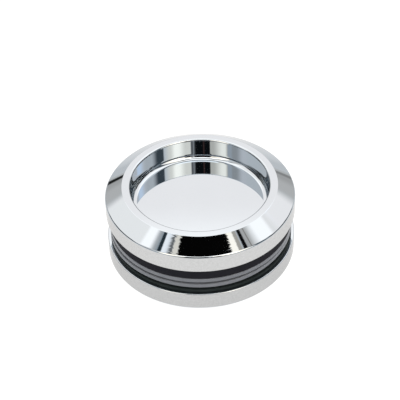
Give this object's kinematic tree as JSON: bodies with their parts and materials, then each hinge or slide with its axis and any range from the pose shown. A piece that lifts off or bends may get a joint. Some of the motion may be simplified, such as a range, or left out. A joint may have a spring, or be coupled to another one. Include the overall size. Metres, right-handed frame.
{
  "type": "round glass door finger pull",
  "caption": "Round back-to-back recessed finger pull for a sliding glass door: threaded bevelled chrome cups clamp the glass between gaskets and washers.",
  "frame": {"origin": "centre of the rear cup's rim plane, which the pull stands on", "axes": "+Z along the pull's axis, out of the front cup; X and Y lie in the plane of the glass"},
  "size_m": [0.065, 0.065, 0.0312],
  "materials": {
    "front_chrome": "polished",
    "rear_chrome": "polished",
    "black_rubber": "matte",
    "grey_plastic": "satin",
    "black_nylon": "satin"
  },
  "bodies": {
    "rear_half": {"rear_cup": "rear_chrome", "rear_gasket": "black_rubber", "rear_washer": "grey_plastic", "hole_bush": "black_nylon"},
    "front_clamp": {"front_gasket": "black_rubber", "front_washer": "grey_plastic"},
    "front_half": {"front_cup": "front_chrome"}
  },
  "joints": [
    {"name": "clamp_slide", "type": "slide", "parent": "rear_half", "child": "front_clamp", "axis": [0, 0, 1], "range_m": [0, 0.006]},
    {"name": "front_turn", "type": "hinge", "parent": "front_clamp", "child": "front_half", "pos_m": [0, 0, 0.0208], "axis": [0, 0, 1], "range_deg": [0, 1440]}
  ],
  "couplings": [
    {"joint": "clamp_slide", "follows": "front_turn", "m_per_rad": 0.00023873}
  ]
}
